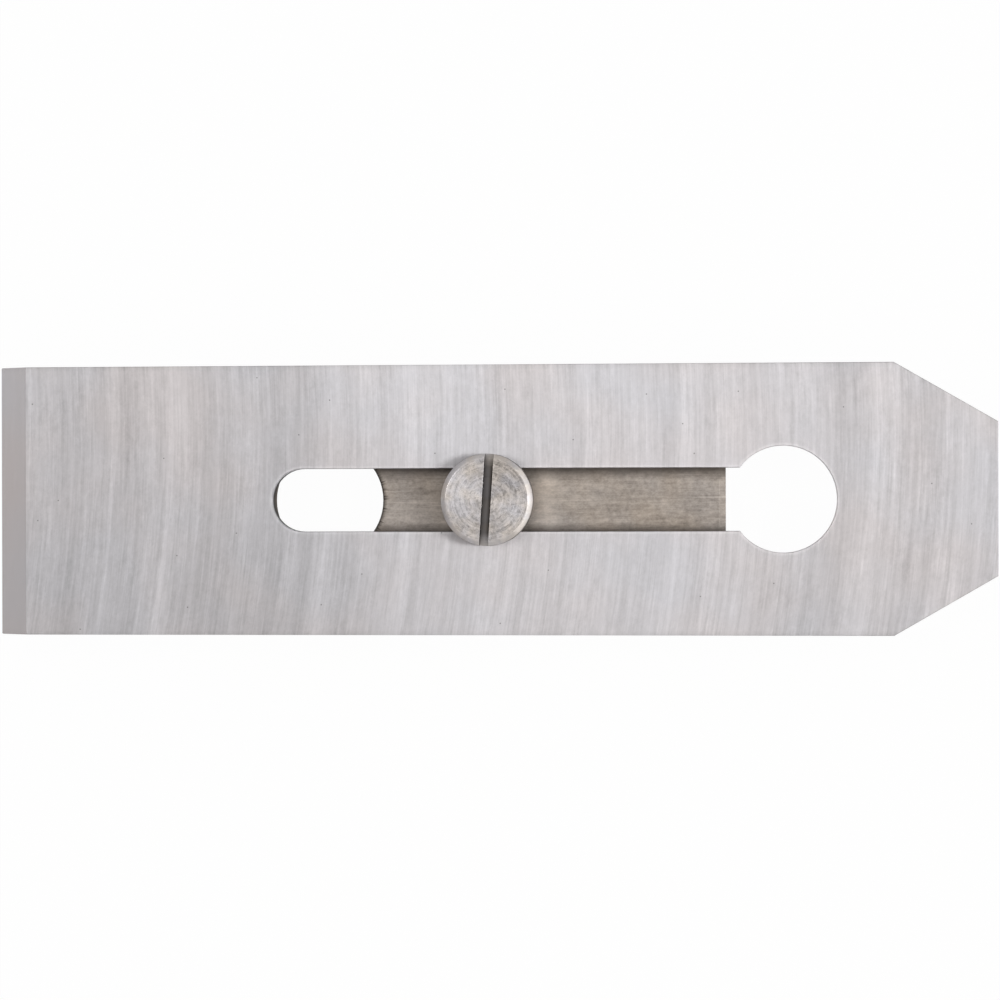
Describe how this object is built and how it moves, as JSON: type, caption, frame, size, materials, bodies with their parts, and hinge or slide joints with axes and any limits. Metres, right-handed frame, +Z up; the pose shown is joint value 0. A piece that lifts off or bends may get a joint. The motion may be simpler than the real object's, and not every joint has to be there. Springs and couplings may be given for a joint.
{
  "type": "double plane iron",
  "caption": "Bench plane blade with a bevelled cutting edge, clipped top corners and a keyhole slot, with a humped cap iron clamped behind it by a slotted cheese-head screw.",
  "frame": {"origin": "centre of the bounding box's underside: under the middle of the cutting iron, at the height of the hump's crest", "axes": "+X from the cutting edge to the top end, +Y across the iron, +Z up towards the bevel side with the screw head"},
  "size_m": [0.178, 0.048, 0.0124],
  "materials": {
    "ground_tool_steel": "surface ground across the width, satin",
    "brushed_mild_steel": "belt brushed along the length, dull",
    "turned_steel": "turned, with concentric tool marks"
  },
  "bodies": {
    "cutting_iron": {"cutting_iron": "ground_tool_steel"},
    "cap_iron": {"cap_iron": "brushed_mild_steel"},
    "cap_screw": {"cap_screw": "turned_steel"}
  },
  "joints": [
    {"name": "cap_slide", "type": "slide", "parent": "cutting_iron", "child": "cap_iron", "axis": [1, 0, 0], "range_m": [-0.0346, 0.0521]},
    {"name": "screw_turn", "type": "hinge", "parent": "cap_iron", "child": "cap_screw", "pos_m": [-0.0005, 0, 0.0088], "axis": [0, 0, 1], "range_deg": [0, 777.6]}
  ]
}
